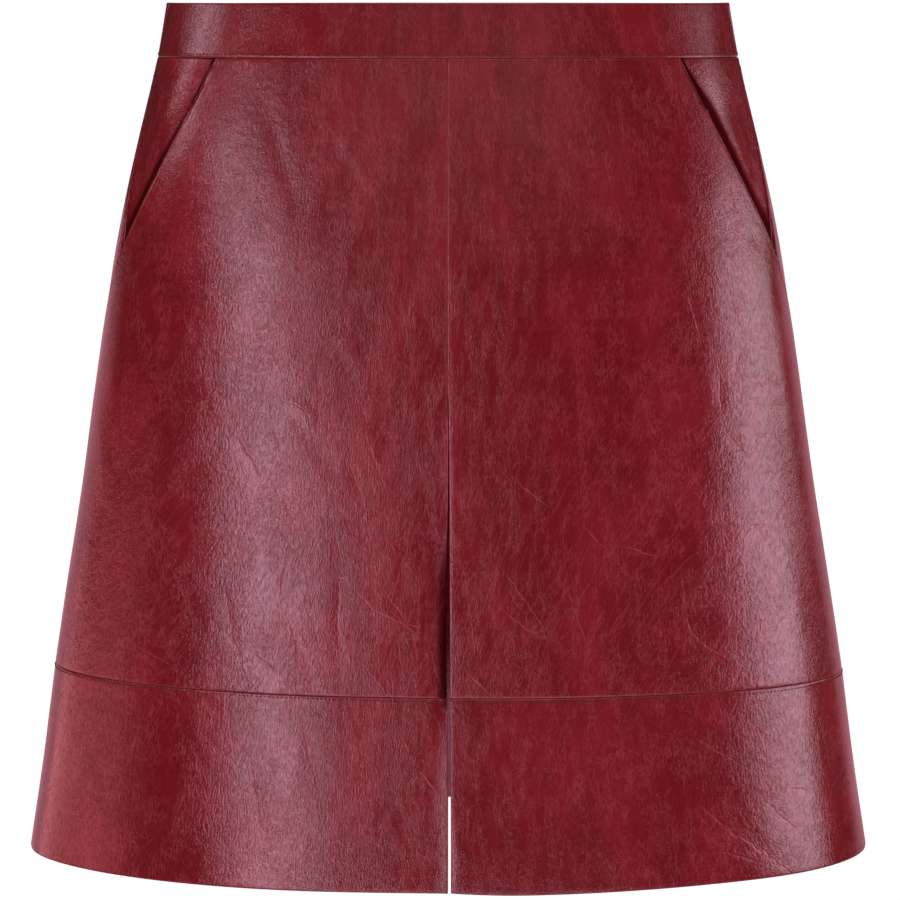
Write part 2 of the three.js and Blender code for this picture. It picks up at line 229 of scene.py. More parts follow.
class Nodes:
    """Adds shader nodes to one material and links them: a value or another node's output each."""

    def __init__(self, name):
        self.material = bpy.data.materials.new(name)
        self.material.use_nodes = True
        self.tree = self.material.node_tree
        self.shader = self.tree.nodes["Principled BSDF"]
        self.place = self.add("ShaderNodeTexCoord").outputs["Object"]

    def put(self, socket, value):
        if isinstance(value, bpy.types.NodeSocket):
            self.tree.links.new(value, socket)
        elif value is not None:
            socket.default_value = value

    def add(self, kind, inputs=(), **settings):
        node = self.tree.nodes.new(kind)
        for setting, value in settings.items():
            setattr(node, setting, value)
        for socket, value in dict(inputs).items():
            self.put(node.inputs[socket], value)
        return node

    def math(self, operation, *values):
        return self.add("ShaderNodeMath", enumerate(values), operation=operation).outputs[0]

    def scaled(self, value, share):
        return self.math("MULTIPLY", value, share)

    def added(self, first, *others):
        for other in others:
            first = self.math("ADD", first, other)
        return first

    def attribute(self, name, output="Fac"):
        return self.add("ShaderNodeAttribute", attribute_name=name).outputs[output]

    def mapped(self, vector, scale, turned=0.0):
        inputs = {"Vector": vector, "Scale": scale, "Rotation": (0, 0, math.radians(turned))}
        return self.add("ShaderNodeMapping", inputs).outputs[0]

    def parts(self, vector):
        return self.add("ShaderNodeSeparateXYZ", {0: vector}).outputs

    def peak(self, value, middle, reach):
        """1 where the value is at its middle and 0 at the reach from it: thin lines out of a noise."""
        off = self.math("ABSOLUTE", self.math("SUBTRACT", value, middle))
        return self.ramp(off, 0.0, reach, 1.0, 0.0)

    def noise(self, vector, scale, detail=2.0, roughness=0.5, dimensions="2D"):
        inputs = {"Vector": vector, "Scale": scale, "Detail": detail, "Roughness": roughness}
        return self.add("ShaderNodeTexNoise", inputs, noise_dimensions=dimensions).outputs[0]

    def ramp(self, value, low, high, to_low=0.0, to_high=1.0):
        inputs = {"Value": value, "From Min": low, "From Max": high, "To Min": to_low, "To Max": to_high}
        return self.add("ShaderNodeMapRange", inputs, interpolation_type="SMOOTHSTEP").outputs[0]

    def mixed(self, share, first, second):
        node = self.add("ShaderNodeMix", {0: share}, data_type="RGBA")
        for socket, colour in ((node.inputs[6], first), (node.inputs[7], second)):
            self.put(socket, (*colour, 1) if isinstance(colour, tuple) else colour)
        return node.outputs[2]

    def bump(self, height, depth):
        return self.add("ShaderNodeBump", {"Height": height, "Distance": depth}).outputs[0]


# Glazed leather: cloudy burgundy, fine upright crinkles above and leaning ones below, a pebble
# grain, and paler lines where the glaze has opened. Its other side is dull dark red suede, its
# darkness partly painted shade inside the skirt.
LEATHER_DARK = (0.2, 0.0075, 0.0125)
LEATHER_MID = (0.275, 0.0125, 0.021)
LEATHER_PALE = (0.46, 0.07, 0.1)
FURROW_SHADE_COLOUR = (0.11, 0.004, 0.007)
PAINTED_SHADE_COLOUR = (0.03, 0.002, 0.004)
GLOSS_TINT = (1.0, 0.5, 0.76)
LEANING_BY = 32


def leather_material():
    m = Nodes("burgundy_leather")
    cloth = m.attribute("cloth_place", "Vector")
    crease_off, crease_depth, pucker = m.parts(m.attribute("crease_near", "Vector"))
    crumpled = m.attribute("crumpled")
    painted_shade = m.attribute("painted_shade")

    def upright(squash, scale, detail=2.0, roughness=0.5):
        """A noise drawn out up the cloth."""
        return m.noise(m.mapped(cloth, (1, squash, 1)), scale, detail, roughness)

    # Clouds, and patches where the surface is rougher
    cloud = m.ramp(upright(0.5, 24, 3.0, 0.6), 0.38, 0.72)
    patches = m.ramp(upright(0.5, 50), 0.34, 0.62, 0.4, 1.0)
    wander = m.noise(cloth, 160, detail=2.0)
    grain = m.noise(cloth, 1000, detail=2.0, roughness=0.6)

    # Fine upright ripples with painted shade in the furrows between them, and pale broken lines
    ripple = m.ramp(upright(0.36, 820, 2.0, 0.6), 0.34, 0.66)
    hairs = m.math("MULTIPLY", ripple, patches)
    furrow_shade = m.math("MULTIPLY", m.math("SUBTRACT", 1.0, ripple), patches)
    fine_lines = m.peak(upright(0.24, 560, 2.0, 0.55), 0.5, 0.1)
    long_lines = m.peak(upright(0.24, 250, 2.0, 0.55), 0.49, 0.032)
    broken = m.ramp(upright(0.4, 120, 1.0), 0.38, 0.62, 0.15, 1.0)
    lines = m.math("MULTIPLY", m.math("MAXIMUM", m.scaled(fine_lines, 0.6), long_lines), broken)

    # Crinkles, cracks and leaning marks, strongest low down
    crinkled_here = m.math("MULTIPLY", patches, crumpled)
    crinkle = m.math("MULTIPLY", m.peak(upright(0.34, 420, 2.5, 0.6), 0.5, 0.1), crinkled_here)
    crumple = m.math("MULTIPLY", upright(0.6, 470, 3.0, 0.6), crumpled)
    leaning = m.mapped(m.mapped(cloth, (1, 1, 1), LEANING_BY), (1, 0.18, 1))
    leaning_lines = m.math("MULTIPLY", m.peak(m.noise(leaning, 150, detail=2.0), 0.5, 0.035), crumpled)
    cracks = m.math("MULTIPLY", m.peak(m.noise(cloth, 62, detail=3.0, roughness=0.6), 0.5, 0.014), patches)
    marks = m.math("MAXIMUM", cracks, leaning_lines)

    # A thin wavering line along each main crease, and puckers at the seams
    line_off = m.math("ADD", crease_off, m.math("MULTIPLY_ADD", wander, 2.4, -1.2))
    creases = m.math("MULTIPLY", m.peak(line_off, 0.0, 0.75), crease_depth)
    drawn_up = m.math("MULTIPLY", pucker, m.ramp(m.noise(cloth, 70, detail=1.0), 0.35, 0.65, 0.2, 1.0))
    puckers = m.math("MULTIPLY", upright(0.14, 420), drawn_up)

    colour = m.mixed(cloud, LEATHER_DARK, LEATHER_MID)
    # Painted shade in the furrows between the ripples
    colour = m.mixed(m.scaled(furrow_shade, 0.28), colour, FURROW_SHADE_COLOUR)
    colour = m.mixed(m.scaled(lines, 0.38), colour, LEATHER_PALE)
    colour = m.mixed(m.scaled(marks, 0.22), colour, LEATHER_PALE)
    colour = m.mixed(m.scaled(creases, 0.55), colour, LEATHER_PALE)
    # Pale seam edges: wear, and partly a painted highlight along the rolled edges
    colour = m.mixed(m.scaled(m.attribute("edge_wear_and_highlight"), 0.5), colour, LEATHER_PALE)
    # Painted shade: darker where the pieces lie in deep shade behind the pocket and slit edges
    colour = m.mixed(m.scaled(painted_shade, 0.85), colour, PAINTED_SHADE_COLOUR)
    m.put(m.shader.inputs["Base Color"], colour)
    m.put(m.shader.inputs["Roughness"], m.ramp(patches, 0.4, 1.0, 0.15, 0.2))
    # The sheen is dimmed in the painted shade too
    sheen = m.added(
        m.scaled(grain, 0.4), m.scaled(crumple, 0.3), m.scaled(wander, 0.3), m.scaled(crinkle, -0.15),
        m.scaled(ripple, 0.25), m.scaled(marks, -0.2), m.scaled(creases, -0.25),
        m.scaled(painted_shade, -0.7), -0.02,
    )
    m.put(m.shader.inputs["Specular IOR Level"], m.ramp(sheen, 0.0, 1.0))
    m.shader.inputs["Specular Tint"].default_value = (*GLOSS_TINT, 1)
    # The coat fades out in the painted shade
    m.put(m.shader.inputs["Coat Weight"], m.ramp(painted_shade, 0.0, 0.8, 0.45, 0.0))
    m.shader.inputs["Coat Roughness"].default_value = 0.1
    rise = m.added(
        m.scaled(grain, 0.085), m.scaled(wander, 0.12), m.scaled(hairs, 0.045), m.scaled(crinkle, -0.024),
        m.scaled(cracks, -0.024), m.scaled(crumple, 0.085), m.scaled(leaning_lines, -0.026),
        m.scaled(creases, -0.1), m.scaled(puckers, 0.26), m.scaled(lines, 0.02),
    )
    normal = m.bump(rise, MILLIMETRE)
    m.put(m.shader.inputs["Normal"], normal)
    m.put(m.shader.inputs["Coat Normal"], normal)
    return m.material


def dull_material(name, dark, pale, fineness, sunk):
    """Cloth with no gloss: a fine mottled nap or weave."""
    m = Nodes(name)
    nap = m.noise(m.place, fineness, detail=3.0, dimensions="3D")
    m.put(m.shader.inputs["Base Color"], m.mixed(nap, dark, pale))
    m.shader.inputs["Roughness"].default_value = 0.95
    m.shader.inputs["Specular IOR Level"].default_value = 0.2
    m.put(m.shader.inputs["Normal"], m.bump(nap, sunk))
    return m.material


leather = leather_material()
# The flesh side is dark red suede, its darkness partly painted shade for the inside of the skirt
flesh_side_with_painted_shade = dull_material(
    "leather_flesh_side", (0.028, 0.005, 0.006), (0.06, 0.013, 0.014), fineness=500, sunk=0.3 * MILLIMETRE
)

# The main creases: x and z of each point, half width and rise, in millimetres
FRONT_CREASES = [
    {"points": [(-117, -149), (-80, -147)], "width": 2.5, "rise": -0.12},
    {"points": [(-92, -202), (-77, -209), (-75, -223)], "width": 3, "rise": 0.3},
    {"points": [(-117, -224), (-103, -246)], "width": 2.5, "rise": -0.25},
    {"points": [(-81, -216), (-62, -242)], "width": 5, "rise": -0.3},
    {"points": [(-60, -165), (-45, -190)], "width": 4, "rise": 0.22},
    {"points": [(-47, -217), (-35, -250)], "width": 3, "rise": 0.2},
    {"points": [(-54, -238), (-46, -260)], "width": 3, "rise": -0.2},
    {"points": [(-91, -257), (-86, -270)], "width": 2.5, "rise": -0.2},
    {"points": [(-90, -289), (-93, -312)], "width": 2.2, "rise": -0.28},
    {"points": [(-90, -319), (-80, -353), (-75, -364)], "width": 2.3, "rise": -0.3},
    {"points": [(-63, -273), (-59, -291), (-61, -324), (-59, -363)], "width": 2.4, "rise": -0.33},
    {"points": [(-58, -300), (-43, -317), (-20, -329), (-17, -355)], "width": 2.8, "rise": 0.24},
    {"points": [(-36, -307), (-22, -326)], "width": 2.4, "rise": -0.18},
    {"points": [(-16, -293), (-17, -350)], "width": 2, "rise": 0.2},
    {"points": [(-11, -336), (-3, -364)], "width": 2, "rise": 0.24},
    {"points": [(-28, -335), (-25, -356)], "width": 2, "rise": -0.2},
    {"points": [(-48, -348), (-34, -365)], "width": 2, "rise": 0.24},
    {"points": [(-109, -343), (-94, -354)], "width": 2.2, "rise": -0.25},
    {"points": [(-124, -309), (-118, -345)], "width": 2.6, "rise": -0.2},
    {"points": [(-27, -386), (-21, -400)], "width": 2, "rise": 0.2},
    {"points": [(-16, -407), (-7, -419)], "width": 2, "rise": 0.2},
    {"points": [(28, -293), (58, -335)], "width": 3, "rise": 0.2},
    {"points": [(29, -317), (37, -324), (52, -335)], "width": 2.4, "rise": -0.18},
    {"points": [(10, -306), (16, -351)], "width": 3, "rise": -0.2},
    {"points": [(10, -353), (23, -365)], "width": 2, "rise": 0.2},
    {"points": [(38, -247), (55, -261)], "width": 3, "rise": 0.2},
    {"points": [(75, -272), (85, -284)], "width": 2.4, "rise": 0.18},
    {"points": [(66, -308), (79, -343)], "width": 2.6, "rise": -0.2},
    {"points": [(95, -283), (119, -292)], "width": 2.4, "rise": 0.18},
    {"points": [(130, -300), (135, -334), (149, -345), (165, -354)], "width": 2.4, "rise": 0.2},
    {"points": [(133, -143), (140, -171)], "width": 3, "rise": -0.2},
    {"points": [(157, -144), (166, -175)], "width": 2.6, "rise": -0.22},
    {"points": [(165, -170), (185, -181)], "width": 2.2, "rise": -0.22},
    {"points": [(165, -175), (159, -194)], "width": 2.2, "rise": -0.22},
    {"points": [(178, -180), (184, -199)], "width": 2.2, "rise": -0.2},
    {"points": [(168, -195), (190, -199)], "width": 2, "rise": -0.16},
    {"points": [(165, -207), (192, -211)], "width": 2, "rise": -0.16},
    {"points": [(155, -222), (166, -235)], "width": 2.4, "rise": -0.25},
    {"points": [(151, -188), (152, -210)], "width": 2.6, "rise": -0.25},
    {"points": [(174, -279), (190, -301)], "width": 2.4, "rise": -0.32},
    {"points": [(156, -82), (162, -104)], "width": 3, "rise": -0.35},
    {"points": [(169, -109), (174, -121)], "width": 2.6, "rise": -0.3},
    {"points": [(165, -274), (197, -281)], "width": 2.2, "rise": -0.18},
    {"points": [(140, -431), (165, -451), (189, -471)], "width": 2, "rise": 0.28},
    {"points": [(152, -444), (176, -458), (194, -474)], "width": 2, "rise": -0.26},
    {"points": [(153, -458), (179, -467)], "width": 2.2, "rise": 0.2},
    {"points": [(136, -392), (170, -413)], "width": 2.6, "rise": 0.18},
    {"points": [(179, -432), (200, -453)], "width": 2.2, "rise": -0.22},
    {"points": [(193, -426), (208, -430)], "width": 2, "rise": -0.2},
    {"points": [(-110, -404), (-103, -445)], "width": 3, "rise": -0.2},
    {"points": [(-82, -378), (-72, -419)], "width": 3, "rise": -0.22},
    {"points": [(-180, -342), (-152, -355)], "width": 3, "rise": 0.2},
    {"points": [(-201, -210), (-190, -275)], "width": 5, "rise": 0.35},
    {"points": [(62, -66), (84, -115)], "width": 5, "rise": 0.3},
    {"points": [(-65, -48), (-34, -95)], "width": 4, "rise": 0.25},
    {"points": [(-102, -38), (-81, -101)], "width": 5, "rise": -0.3},
]

# Like creases behind, where a wearer sits on the skirt
BACK_CREASES = [
    {"points": [(-118, -168), (-72, -181), (-38, -176)], "width": 4, "rise": -0.32},
    {"points": [(-131, -196), (-88, -209)], "width": 3, "rise": 0.26},
    {"points": [(-96, -228), (-54, -222), (-29, -233)], "width": 3.4, "rise": -0.28},
    {"points": [(31, -171), (77, -184), (121, -173)], "width": 4, "rise": -0.34},
    {"points": [(58, -205), (104, -214)], "width": 3, "rise": 0.25},
    {"points": [(24, -236), (66, -229), (93, -241)], "width": 3.2, "rise": -0.28},
    {"points": [(-148, -262), (-133, -331)], "width": 3, "rise": -0.26},
    {"points": [(-92, -281), (-79, -352)], "width": 2.6, "rise": -0.3},
    {"points": [(-41, -302), (-52, -361)], "width": 2.4, "rise": 0.24},
    {"points": [(17, -288), (24, -340)], "width": 2.4, "rise": -0.22},
    {"points": [(63, -296), (52, -358)], "width": 2.4, "rise": -0.28},
    {"points": [(108, -271), (119, -349)], "width": 2.8, "rise": 0.26},
    {"points": [(161, -248), (152, -322)], "width": 3, "rise": -0.28},
    {"points": [(-172, -121), (-181, -186)], "width": 3.4, "rise": -0.28},
    {"points": [(150, -96), (163, -158)], "width": 3.4, "rise": -0.26},
    {"points": [(-122, -402), (-88, -452)], "width": 2.4, "rise": 0.22},
    {"points": [(74, -398), (96, -461)], "width": 2.6, "rise": -0.24},
    {"points": [(-70, -52), (-58, -110)], "width": 4, "rise": 0.25},
    {"points": [(86, -44), (72, -98)], "width": 4, "rise": -0.25},
]

# How far the drawn line reaches off a crease, the width from which a crease is too soft for one,
# the rise from which it is drawn in full, and the bounds of what is kept of the distance
CREASE_REACH = 2.6
SOFT_CREASE = 3.8
FULL_CREASE = 0.25
FAR = 1e3
OFF_LINE_MOST = 9.0


def taper_along(share):
    """A crease's strength along its length: nearly nothing at its ends."""
    return np.sin(np.pi * (0.05 + 0.9 * share)) ** 0.7


def off_crease(flat, crease):
    """Each point's distance off a crease, the same with a sign for its side, and the crease's taper."""
    points = np.array(crease["points"], float)
    steps = np.linalg.norm(np.diff(points, axis=0), axis=1)
    distance = np.full(len(flat), FAR)
    signed = np.zeros(len(flat))
    taper = np.zeros(len(flat))
    for number, step in enumerate(steps):
        along = (points[number + 1] - points[number]) / step
        from_start = flat - points[number]
        run = np.clip(from_start @ along, 0, step)
        away = np.linalg.norm(from_start - run[:, None] * along, axis=1)
        side = np.sign(from_start[:, 0] * along[1] - from_start[:, 1] * along[0])
        closer = away < distance
        distance = np.where(closer, away, distance)
        signed = np.where(closer, away * side, signed)
        travelled = steps[:number].sum() + run
        taper = np.where(closer, taper_along(travelled / steps.sum()), taper)
    return distance, signed, taper


def creased(places):
    """How far the creases lift each point, its distance off the nearest one and that one's depth."""
    rise = np.zeros(len(places))
    nearest = np.full(len(places), FAR)
    off_line = np.full(len(places), OFF_LINE_MOST)
    depth = np.zeros(len(places))
    flat = places[:, [0, 2]] / MILLIMETRE
    for facing, table in ((-1, FRONT_CREASES), (1, BACK_CREASES)):
        here = places[:, 1] * facing > 0
        for crease in table:
            distance, signed, taper = off_crease(flat, crease)
            rise += here * crease["rise"] * MILLIMETRE * taper * np.exp(-((distance / crease["width"]) ** 2))
            near = here & (distance < nearest)
            nearest = np.where(near, distance, nearest)
            off_line = np.where(near, np.clip(signed, -OFF_LINE_MOST, OFF_LINE_MOST), off_line)
            reach = taper * np.exp(-((distance / CREASE_REACH) ** 2))
            drawn = (crease["width"] < SOFT_CREASE) * min(1, abs(crease["rise"]) / FULL_CREASE)
            depth = np.where(near, reach * drawn, depth)
    return rise, off_line, depth


# Soft unevenness of hanging leather: rise and size in millimetres
WAVES = [{"rise": 0.22, "size": 46, "tall": 1.8}, {"rise": 0.07, "size": 15, "tall": 1.5}]


def uneven_rise(places):
    """How far the waves lift each point."""
    rise = np.zeros(len(places))
    for wave in WAVES:
        step = 1 / (wave["size"] * MILLIMETRE)
        scale = Vector((step, step, step / wave["tall"]))
        rise += [wave["rise"] * MILLIMETRE * noise.noise(Vector(p) * scale) for p in places]
    return rise


def eased(share):
    share = np.clip(share, 0, 1)
    return share * share * (3 - 2 * share)


# The slit's edges roll back, or out where the drop is negative: side, heights, how far in and how
# deep, in millimetres. Below the seam's end the edges part by degrees.
SLIT_ROLLS = [
    {"side": -1, "top": -375, "bottom": -480, "width": 4.2, "drop": -0.7},
    {"side": -1, "top": -275, "bottom": -372, "width": 9.0, "drop": 3.5},
    {"side": -1, "top": 0, "bottom": -265, "width": 1.6, "drop": -0.25},
    {"side": 1, "top": 0, "bottom": -480, "width": 2.0, "drop": 0.1},
    {"side": 1, "top": -425, "bottom": -480, "width": 7.0, "drop": 0.8},
]
ROLL_STARTS_OVER = 30
ROLL_MOST = 1.2
SLIT_EDGE = {-1: 0.7, 1: 1.6}
SLIT_TOP = -197
SLIT_WIDENS_OVER = 60
SLIT_SHADE = {"top": -272, "whole": -345, "bottom": -371, "reach": 5.0, "flat_to": 1.5}


def slit_roll(places):
    """How far the edges beside the front seam and slit turn in."""
    x, y, z = (places / MILLIMETRE).T
    fall = np.zeros(len(places))
    for row in SLIT_ROLLS:
        start = SLIT_EDGE[row["side"]] * np.clip((SLIT_TOP - z) / SLIT_WIDENS_OVER, 0, 1)
        off = np.clip(1 - (x * row["side"] - start) / row["width"], 0, ROLL_MOST)
        fades = np.clip((row["top"] - z) / ROLL_STARTS_OVER, 0, 1) * (z > row["bottom"])
        fall += (y < 0) * (x * row["side"] > 0) * row["drop"] * fades * off**2
    return fall * MILLIMETRE


def slit_shade(places):
    """Painted deep shade on the left panel where its edge curls back beside the slit."""
    x, y, z = (places / MILLIMETRE).T
    opens = eased((SLIT_SHADE["top"] - z) / (SLIT_SHADE["top"] - SLIT_SHADE["whole"]))
    near = eased(SLIT_SHADE["flat_to"] - abs(x) / SLIT_SHADE["reach"])
    return opens * near * (x < 0) * (y < 0) * (z > SLIT_SHADE["bottom"])


# Pocket: the hip piece is sunk evenly behind the line of the slanted edge, out to the side seam,
# and is painted in deep shade close behind that edge. The left pocket (-1) opens lower down than
# the right.
SLANT = {"top": (129, -15), "foot": (187.3, -129.5)}
SLANT_MARGIN = 1
SLANT_NEAR = 6
POCKET_SINK = {"depth": 2.8, "everywhere": 0.4, "from": 1.0, "whole": 8.0, "seam": 14.0}
SAME_LEVEL = 6
BAG_SINK = 3.5 * MILLIMETRE
POCKET_OPENS = {-1: (-42, -86), 1: (-16, -52)}
POCKET_CLOSES = (-108, -128)
SHADE_REACH = {-1: 6.0, 1: 6.5}
SHADE_STRENGTH = 1.6
SHADE_WHERE_CLOSED = 0.25


def off_slant(places):
    """How far each point lies outside the pocket's slanted edge, and how open the pocket is there."""
    x, y, z = (places / MILLIMETRE).T
    share = (z - SLANT["top"][1]) / (SLANT["foot"][1] - SLANT["top"][1])
    off = abs(x) - (SLANT["top"][0] + share * (SLANT["foot"][0] - SLANT["top"][0]))
    starts, whole = (np.where(x < 0, POCKET_OPENS[-1][at], POCKET_OPENS[1][at]) for at in (0, 1))
    opens = eased((starts - z) / (starts - whole))
    closes = eased((POCKET_CLOSES[0] - z) / (POCKET_CLOSES[0] - POCKET_CLOSES[1]))
    return off, opens * (1 - closes)


def slanted_edge(bm):
    """Height, distance off the middle and depth of the border points along a panel's slanted edge."""
    points = [v.co / MILLIMETRE for v in bm.verts if v.is_boundary]
    lowest, innermost = SLANT["foot"][1] - SLANT_MARGIN, SLANT["top"][0] - SLANT_MARGIN
    return np.array(sorted((p.z, abs(p.x), p.y) for p in points if p.z > lowest and abs(p.x) > innermost))


def set_on_slant(bm, slant):
    """Puts a front panel's fine border back on the straight slanted line that its solid is cut along."""
    for vertex in (v for v in bm.verts if v.is_boundary):
        z, off = vertex.co.z / MILLIMETRE, abs(vertex.co.x) / MILLIMETRE
        if slant[0, 0] < z < SLANT["top"][1] - SLANT_MARGIN and off > SLANT["top"][0] - SLANT_NEAR:
            vertex.co.x = math.copysign(np.interp(z, slant[:, 0], slant[:, 1]), vertex.co.x) * MILLIMETRE
            vertex.co.y = np.interp(z, slant[:, 0], slant[:, 2]) * MILLIMETRE


def pocket_sink(places):
    """How far a hip piece lies behind its solid's face."""
    off, openness = off_slant(places)
    y, z = places[:, 1] / MILLIMETRE, places[:, 2] / MILLIMETRE
    seam_y = np.array([y[abs(z - level) < SAME_LEVEL].max() for level in z])
    from_seam = eased((seam_y - y) / POCKET_SINK["seam"])
    from_edge = eased((off - POCKET_SINK["from"]) / POCKET_SINK["whole"])
    sink = POCKET_SINK["depth"] * openness * from_edge + POCKET_SINK["everywhere"]
    return sink * from_seam * MILLIMETRE


def pocket_shade(places):
    """Painted deep shade on a hip piece close behind the slanted edge."""
    off, openness = off_slant(places)
    reach = np.where(places[:, 0] < 0, SHADE_REACH[-1], SHADE_REACH[1])
    reach = reach * (SHADE_WHERE_CLOSED + (1 - SHADE_WHERE_CLOSED) * openness)
    return eased(SHADE_STRENGTH * np.exp(-((np.clip(off, 0, None) / reach) ** 2)))


# The front of the waistband leans in a little towards its top
WAIST_SEAM = -15.2 * MILLIMETRE
WAISTBAND_LEAN = 0.1
LEAN_FADES = 60 * MILLIMETRE

# Puckers where a seam draws the leather up: height of the seam and how far they reach
PUCKERS = [
    {"seam": -15.2, "above": 5, "below": 8, "share": 0.8},
    {"seam": -367, "above": 13, "below": 4, "share": 0.8},
]


def puckered(places):
    """How strongly the seams draw each point up."""
    z = places[:, 2] / MILLIMETRE
    share = np.zeros(len(places))
    for row in PUCKERS:
        below = row["seam"] - z
        reach = np.where(below > 0, row["below"], row["above"])
        share += row["share"] * np.exp(-abs(below) / reach)
    return share


def meet_neighbour(bm, rings):
    """Moves the border out by half the gap that the solids keep, so sewn pieces touch."""
    moves = []
    for vertex in (v for v in bm.verts if rings[v.index] == 0):
        inner = [e.other_vert(vertex) for e in vertex.link_edges if rings[e.other_vert(vertex).index] == 1]
        if inner:
            moves.append((vertex, (vertex.co - inner[0].co).normalized() * HALF_GAP))
    for vertex, move in moves:
        vertex.co += move


# Crumpling grows downwards from a height, and is slight on the doubled hem bands
CRUMPLES = {"from": -0.14, "over": 0.16, "least": 0.35, "hem_bands": 0.3}
CLOTH_SHIFT = np.array([0.37, 0.61, 0])
sewn_nodes = []


def cloth_places(places, piece_number):
    """Where each point lies on the flat cloth: length round and height, shifted for each piece."""
    behind = places[:, 1].mean() > 0
    turn = np.arctan2(places[:, 0], -places[:, 1])
    turn = turn % (2 * np.pi) if behind else turn
    flat = np.column_stack([turn * HIP_ROUND, places[:, 2], np.zeros(len(places))])
    return flat + CLOTH_SHIFT * piece_number


def shaped(node, places):
    """How far each point of a piece stands off its solid's face, less the creases."""
    rise = uneven_rise(places) - slit_roll(places)
    if node.startswith("hip_piece"):
        rise -= pocket_sink(places)
    if node.startswith("pocket_bag"):
        rise -= BAG_SINK
    if node == "waistband_front":
        faces_front = eased(-places[:, 1] / LEAN_FADES)
        rise -= WAISTBAND_LEAN * faces_front * np.clip(places[:, 2] - WAIST_SEAM, 0, None)
    return rise


def shades(node, places):
    """Each point's painted shade, on the pieces that are partly painted in deep shade."""
    if node == "front_panel_left":
        return slit_shade(places)
    return pocket_shade(places) if node.startswith("hip_piece") else None


def fine_sheet(node, fineness):
    """A node's outer face made fine, with its seam rings, its border out to the next piece's."""
    settings = {"levels": fineness, "render_levels": fineness, "boundary_smooth": "PRESERVE_CORNERS"}
    coarse = outside_of(node)
    slant = slanted_edge(coarse)
    bm = with_modifier(coarse, "SUBSURF", **settings)
    if node.startswith("front_panel"):
        set_on_slant(bm, slant)
    for reach in SEAM_RINGS:
        bmesh.ops.inset_region(bm, faces=bm.faces[:], thickness=reach, use_boundary=True)
    bm.normal_update()
    rings = rings_from_edge(bm)
    meet_neighbour(bm, rings)
    return bm, rings


def sewn_piece(name, node, thickness, outside=None, inside=None, fineness=FINENESS):
    """A cut piece of cloth: the node's outer face made fine, creased, and given its thickness."""
    sewn_nodes.append(node)
    bm, rings = fine_sheet(node, fineness)
    places = np.array([v.co[:] for v in bm.verts])
    rise, off_line, depth = creased(places)
    for vertex, height in zip(bm.verts, rise + shaped(node, places)):
        vertex.co += vertex.normal * height
    bm.normal_update()
    bm = with_modifier(bm, "SOLIDIFY", thickness=thickness, offset=-1, material_offset=1)
    bm.verts.ensure_lookup_table()
    wear_and_highlight = bm.verts.layers.float.new("edge_wear_and_highlight")
    on_cloth = bm.verts.layers.float_vector.new("cloth_place")
    crumpled = bm.verts.layers.float.new("crumpled")
    crease_near = bm.verts.layers.float_vector.new("crease_near")
    for place, row in enumerate(zip(off_line, depth, puckered(places))):
        bm.verts[place][crease_near] = row
    # Painted shade, on the pieces that lie partly in deep shade
    shade = shades(node, places)
    if shade is not None:
        painted_shade = bm.verts.layers.float.new("painted_shade")
        for place, value in enumerate(shade):
            bm.verts[place][painted_shade] = value
    # Seam edges rounded down, and painted pale for wear and partly as a highlight on the rolled edge
    for place, ring in enumerate(rings):
        if ring < len(SEAM_DROPS):
            vertex = bm.verts[place]
            vertex[wear_and_highlight] = EDGE_WEAR_AND_HIGHLIGHT[ring]
            vertex.co -= vertex.normal * SEAM_DROPS[ring]
    final = np.array([v.co[:] for v in bm.verts])
    low = np.clip((CRUMPLES["from"] - final[:, 2]) / CRUMPLES["over"], 0, 1)
    most = CRUMPLES["hem_bands"] if node.startswith("hem_band") else 1.0
    strength = most * (CRUMPLES["least"] + (1 - CRUMPLES["least"]) * low)
    for vertex, place, value in zip(bm.verts, cloth_places(final, len(sewn_nodes)), strength):
        vertex[on_cloth] = place
        vertex[crumpled] = value
    shell = new_object(name, bm, outside or leather)
    shell.data.materials.append(inside or flesh_side_with_painted_shade)
    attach(shell, "skirt")
    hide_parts(node)
    return shell


for side in ("left", "right"):
    sewn_piece(
        f"front_panel_{side}_leather", f"front_panel_{side}", LEATHER
    )

# Hip pieces: the leather seen in the open pocket, sunk behind the slanted edge. Each joins the
# back panel at the side seam, and its pocket bag of plain cloth hangs inside it.
for side in ("left", "right"):
    sewn_piece(f"hip_piece_{side}_leather", f"hip_piece_{side}", LEATHER)

BAG_CLOTH = 1.0 * MILLIMETRE
pocket_cloth = dull_material(
    "pocket_cotton", (0.05, 0.009, 0.012), (0.085, 0.018, 0.022), fineness=900, sunk=0.2 * MILLIMETRE
)

for side in ("left", "right"):
    bag = sewn_piece(
        f"pocket_bag_{side}_cloth", f"pocket_bag_{side}", BAG_CLOTH,
        outside=pocket_cloth, inside=pocket_cloth, fineness=2,
    )

# Back panels: plain leather, joined down the centre back below the zip. They reach from the
# waistband to the hem band and meet the hip pieces and front panels at the side seams.
for side in ("left", "right"):
    sewn_piece(f"back_panel_{side}_leather", f"back_panel_{side}", LEATHER)

# Hem bands: a doubled band of leather round the foot of the skirt, parted in front by the slit
# and topstitched close under the seam that joins it to the panels.
HEM_BAND = 2.0 * MILLIMETRE
BAND_SEAM = -367 * MILLIMETRE
BAND_TILT = 2 * MILLIMETRE
hem_bands = [
    sewn_piece(
        f"hem_band_front_{side}_leather", f"hem_band_front_{side}", HEM_BAND
    )
    for side in ("left", "right")
]
hem_bands.append(
    sewn_piece("hem_band_back_leather", "hem_band_back", HEM_BAND)
)

STITCH_LENGTH = 1.7 * MILLIMETRE
STITCH_WIDTH = 0.9 * MILLIMETRE
STITCH_PITCH = 2.4 * MILLIMETRE
STITCHES_OFF_SEAM = 1.9 * MILLIMETRE
SEARCHED_FROM = 1.0
SEARCH_STEP = 0.0005


